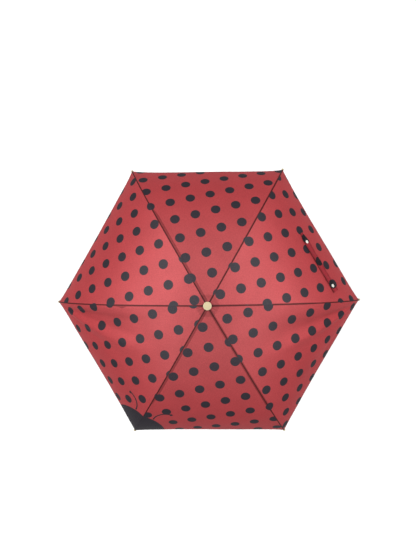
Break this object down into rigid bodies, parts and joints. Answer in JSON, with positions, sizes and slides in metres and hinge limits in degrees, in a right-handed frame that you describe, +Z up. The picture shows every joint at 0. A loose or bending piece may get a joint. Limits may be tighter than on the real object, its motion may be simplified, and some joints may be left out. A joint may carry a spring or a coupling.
{
  "type": "children's folding umbrella",
  "caption": "Open folding umbrella with a hexagonal dotted canopy, three-section ribs, telescoping shaft, runner and closing strap.",
  "frame": {"origin": "centre of the handle's round grip, on the shaft's axis", "axes": "+Z up the shaft towards the canopy, +X along the first rib"},
  "size_m": [0.8986, 0.7792, 0.5982],
  "materials": {
    "canopy_cloth": "plain woven polyester, red with charcoal dots",
    "strap_cloth": "doubled woven polyester, darker red with charcoal dots",
    "snap_plastic": "glossy off-white",
    "ivory_plastic": "semi-gloss moulded ivory",
    "rib_metal": "zinc-plated formed steel",
    "tube_metal": "drawn satin tube"
  },
  "bodies": {
    "grip": {"handle": "ivory_plastic", "lower_tube": "tube_metal"},
    "middle_tube": {"middle_tube": "tube_metal"},
    "shaft_top": {"upper_tube": "tube_metal", "crown": "ivory_plastic", "crown_ring": "rib_metal", "top_cap": "ivory_plastic"},
    "runner": {"runner": "ivory_plastic"},
    "runner_button": {"runner_button": "ivory_plastic"},
    "rib_1_inner": {"inner_rib_1": "rib_metal", "canopy_inner_1": "canopy_cloth"},
    "rib_1_stretcher": {"stretcher_1": "rib_metal"},
    "rib_1_middle": {"middle_rib_1": "rib_metal", "canopy_middle_1": "canopy_cloth"},
    "rib_1_outer": {"outer_rib_1": "rib_metal", "rib_tip_1": "ivory_plastic", "canopy_outer_1": "canopy_cloth"},
    "rib_2_inner": {"inner_rib_2": "rib_metal", "canopy_inner_2": "canopy_cloth"},
    "rib_2_stretcher": {"stretcher_2": "rib_metal"},
    "rib_2_middle": {"middle_rib_2": "rib_metal", "canopy_middle_2": "canopy_cloth"},
    "rib_2_outer": {"outer_rib_2": "rib_metal", "rib_tip_2": "ivory_plastic", "canopy_outer_2": "canopy_cloth", "strap": "strap_cloth", "strap_snaps": "snap_plastic"},
    "rib_3_inner": {"inner_rib_3": "rib_metal", "canopy_inner_3": "canopy_cloth"},
    "rib_3_stretcher": {"stretcher_3": "rib_metal"},
    "rib_3_middle": {"middle_rib_3": "rib_metal", "canopy_middle_3": "canopy_cloth"},
    "rib_3_outer": {"outer_rib_3": "rib_metal", "rib_tip_3": "ivory_plastic", "canopy_outer_3": "canopy_cloth"},
    "rib_4_inner": {"inner_rib_4": "rib_metal", "canopy_inner_4": "canopy_cloth"},
    "rib_4_stretcher": {"stretcher_4": "rib_metal"},
    "rib_4_middle": {"middle_rib_4": "rib_metal", "canopy_middle_4": "canopy_cloth"},
    "rib_4_outer": {"outer_rib_4": "rib_metal", "rib_tip_4": "ivory_plastic", "canopy_outer_4": "canopy_cloth"},
    "rib_5_inner": {"inner_rib_5": "rib_metal", "canopy_inner_5": "canopy_cloth"},
    "rib_5_stretcher": {"stretcher_5": "rib_metal"},
    "rib_5_middle": {"middle_rib_5": "rib_metal", "canopy_middle_5": "canopy_cloth"},
    "rib_5_outer": {"outer_rib_5": "rib_metal", "rib_tip_5": "ivory_plastic", "canopy_outer_5": "canopy_cloth"},
    "rib_6_inner": {"inner_rib_6": "rib_metal", "canopy_inner_6": "canopy_cloth"},
    "rib_6_stretcher": {"stretcher_6": "rib_metal"},
    "rib_6_middle": {"middle_rib_6": "rib_metal", "canopy_middle_6": "canopy_cloth"},
    "rib_6_outer": {"outer_rib_6": "rib_metal", "rib_tip_6": "ivory_plastic", "canopy_outer_6": "canopy_cloth"}
  },
  "joints": [
    {"name": "middle_tube_slide", "type": "slide", "parent": "grip", "child": "middle_tube", "axis": [0, 0, -1], "range_m": [0, 0.165]},
    {"name": "upper_tube_slide", "type": "slide", "parent": "middle_tube", "child": "shaft_top", "axis": [0, 0, -1], "range_m": [0, 0.165]},
    {"name": "runner_slide", "type": "slide", "parent": "shaft_top", "child": "runner", "axis": [0, 0, -1], "range_m": [0, 0.08555], "deforming": ["canopy_inner_1", "canopy_middle_1", "canopy_outer_1", "canopy_inner_2", "canopy_middle_2", "canopy_outer_2", "canopy_inner_3", "canopy_middle_3", "canopy_outer_3", "canopy_inner_4", "canopy_middle_4", "canopy_outer_4", "canopy_inner_5", "canopy_middle_5", "canopy_outer_5", "canopy_inner_6", "canopy_middle_6", "canopy_outer_6", "strap", "strap_snaps"]},
    {"name": "runner_button_press", "type": "slide", "parent": "runner", "child": "runner_button", "axis": [-0.866, -0.5, 0], "range_m": [0, 0.0008], "stiffness_N_per_m": 600, "springref_m": -0.0005},
    {"name": "rib_1_crown_hinge", "type": "hinge", "parent": "shaft_top", "child": "rib_1_inner", "pos_m": [0.0095, 0, 0.555], "axis": [0, 1, 0], "range_deg": [0, 78.08]},
    {"name": "rib_1_rivet", "type": "hinge", "parent": "rib_1_inner", "child": "rib_1_stretcher", "pos_m": [0.07661, 0, 0.54499], "axis": [0, 1, 0], "range_deg": [-123.09, 0]},
    {"name": "rib_1_inner_fold", "type": "hinge", "parent": "rib_1_inner", "child": "rib_1_middle", "pos_m": [0.16072, 0, 0.53391], "axis": [0, 1, 0], "range_deg": [-183.12, 0]},
    {"name": "rib_1_outer_fold", "type": "hinge", "parent": "rib_1_middle", "child": "rib_1_outer", "pos_m": [0.30076, 0, 0.48696], "axis": [0, 1, 0], "range_deg": [0, 161.26]},
    {"name": "rib_2_crown_hinge", "type": "hinge", "parent": "shaft_top", "child": "rib_2_inner", "pos_m": [0.00475, 0.00823, 0.555], "axis": [-0.866, 0.5, 0], "range_deg": [0, 78.08]},
    {"name": "rib_2_rivet", "type": "hinge", "parent": "rib_2_inner", "child": "rib_2_stretcher", "pos_m": [0.0383, 0.06634, 0.54499], "axis": [-0.866, 0.5, 0], "range_deg": [-123.09, 0]},
    {"name": "rib_2_inner_fold", "type": "hinge", "parent": "rib_2_inner", "child": "rib_2_middle", "pos_m": [0.08036, 0.13919, 0.53391], "axis": [-0.866, 0.5, 0], "range_deg": [-183.12, 0]},
    {"name": "rib_2_outer_fold", "type": "hinge", "parent": "rib_2_middle", "child": "rib_2_outer", "pos_m": [0.15038, 0.26046, 0.48696], "axis": [-0.866, 0.5, 0], "range_deg": [0, 161.26]},
    {"name": "rib_3_crown_hinge", "type": "hinge", "parent": "shaft_top", "child": "rib_3_inner", "pos_m": [-0.00475, 0.00823, 0.555], "axis": [-0.866, -0.5, 0], "range_deg": [0, 78.08]},
    {"name": "rib_3_rivet", "type": "hinge", "parent": "rib_3_inner", "child": "rib_3_stretcher", "pos_m": [-0.0383, 0.06634, 0.54499], "axis": [-0.866, -0.5, 0], "range_deg": [-123.09, 0]},
    {"name": "rib_3_inner_fold", "type": "hinge", "parent": "rib_3_inner", "child": "rib_3_middle", "pos_m": [-0.08036, 0.13919, 0.53391], "axis": [-0.866, -0.5, 0], "range_deg": [-183.12, 0]},
    {"name": "rib_3_outer_fold", "type": "hinge", "parent": "rib_3_middle", "child": "rib_3_outer", "pos_m": [-0.15038, 0.26046, 0.48696], "axis": [-0.866, -0.5, 0], "range_deg": [0, 161.26]},
    {"name": "rib_4_crown_hinge", "type": "hinge", "parent": "shaft_top", "child": "rib_4_inner", "pos_m": [-0.0095, 0, 0.555], "axis": [0, -1, 0], "range_deg": [0, 78.08]},
    {"name": "rib_4_rivet", "type": "hinge", "parent": "rib_4_inner", "child": "rib_4_stretcher", "pos_m": [-0.07661, 0, 0.54499], "axis": [0, -1, 0], "range_deg": [-123.09, 0]},
    {"name": "rib_4_inner_fold", "type": "hinge", "parent": "rib_4_inner", "child": "rib_4_middle", "pos_m": [-0.16072, 0, 0.53391], "axis": [0, -1, 0], "range_deg": [-183.12, 0]},
    {"name": "rib_4_outer_fold", "type": "hinge", "parent": "rib_4_middle", "child": "rib_4_outer", "pos_m": [-0.30076, 0, 0.48696], "axis": [0, -1, 0], "range_deg": [0, 161.26]},
    {"name": "rib_5_crown_hinge", "type": "hinge", "parent": "shaft_top", "child": "rib_5_inner", "pos_m": [-0.00475, -0.00823, 0.555], "axis": [0.866, -0.5, 0], "range_deg": [0, 78.08]},
    {"name": "rib_5_rivet", "type": "hinge", "parent": "rib_5_inner", "child": "rib_5_stretcher", "pos_m": [-0.0383, -0.06634, 0.54499], "axis": [0.866, -0.5, 0], "range_deg": [-123.09, 0]},
    {"name": "rib_5_inner_fold", "type": "hinge", "parent": "rib_5_inner", "child": "rib_5_middle", "pos_m": [-0.08036, -0.13919, 0.53391], "axis": [0.866, -0.5, 0], "range_deg": [-183.12, 0]},
    {"name": "rib_5_outer_fold", "type": "hinge", "parent": "rib_5_middle", "child": "rib_5_outer", "pos_m": [-0.15038, -0.26046, 0.48696], "axis": [0.866, -0.5, 0], "range_deg": [0, 161.26]},
    {"name": "rib_6_crown_hinge", "type": "hinge", "parent": "shaft_top", "child": "rib_6_inner", "pos_m": [0.00475, -0.00823, 0.555], "axis": [0.866, 0.5, 0], "range_deg": [0, 78.08]},
    {"name": "rib_6_rivet", "type": "hinge", "parent": "rib_6_inner", "child": "rib_6_stretcher", "pos_m": [0.0383, -0.06634, 0.54499], "axis": [0.866, 0.5, 0], "range_deg": [-123.09, 0]},
    {"name": "rib_6_inner_fold", "type": "hinge", "parent": "rib_6_inner", "child": "rib_6_middle", "pos_m": [0.08036, -0.13919, 0.53391], "axis": [0.866, 0.5, 0], "range_deg": [-183.12, 0]},
    {"name": "rib_6_outer_fold", "type": "hinge", "parent": "rib_6_middle", "child": "rib_6_outer", "pos_m": [0.15038, -0.26046, 0.48696], "axis": [0.866, 0.5, 0], "range_deg": [0, 161.26]}
  ],
  "couplings": [
    {"joint": "rib_1_crown_hinge", "follows": "runner_slide", "rad_per_m": 15.926},
    {"joint": "rib_1_rivet", "follows": "runner_slide", "rad_per_m": -25.108},
    {"joint": "rib_1_inner_fold", "follows": "runner_slide", "rad_per_m": -37.354},
    {"joint": "rib_1_outer_fold", "follows": "runner_slide", "rad_per_m": 32.896},
    {"joint": "rib_2_crown_hinge", "follows": "runner_slide", "rad_per_m": 15.926},
    {"joint": "rib_2_rivet", "follows": "runner_slide", "rad_per_m": -25.108},
    {"joint": "rib_2_inner_fold", "follows": "runner_slide", "rad_per_m": -37.354},
    {"joint": "rib_2_outer_fold", "follows": "runner_slide", "rad_per_m": 32.896},
    {"joint": "rib_3_crown_hinge", "follows": "runner_slide", "rad_per_m": 15.926},
    {"joint": "rib_3_rivet", "follows": "runner_slide", "rad_per_m": -25.108},
    {"joint": "rib_3_inner_fold", "follows": "runner_slide", "rad_per_m": -37.354},
    {"joint": "rib_3_outer_fold", "follows": "runner_slide", "rad_per_m": 32.896},
    {"joint": "rib_4_crown_hinge", "follows": "runner_slide", "rad_per_m": 15.926},
    {"joint": "rib_4_rivet", "follows": "runner_slide", "rad_per_m": -25.108},
    {"joint": "rib_4_inner_fold", "follows": "runner_slide", "rad_per_m": -37.354},
    {"joint": "rib_4_outer_fold", "follows": "runner_slide", "rad_per_m": 32.896},
    {"joint": "rib_5_crown_hinge", "follows": "runner_slide", "rad_per_m": 15.926},
    {"joint": "rib_5_rivet", "follows": "runner_slide", "rad_per_m": -25.108},
    {"joint": "rib_5_inner_fold", "follows": "runner_slide", "rad_per_m": -37.354},
    {"joint": "rib_5_outer_fold", "follows": "runner_slide", "rad_per_m": 32.896},
    {"joint": "rib_6_crown_hinge", "follows": "runner_slide", "rad_per_m": 15.926},
    {"joint": "rib_6_rivet", "follows": "runner_slide", "rad_per_m": -25.108},
    {"joint": "rib_6_inner_fold", "follows": "runner_slide", "rad_per_m": -37.354},
    {"joint": "rib_6_outer_fold", "follows": "runner_slide", "rad_per_m": 32.896}
  ]
}
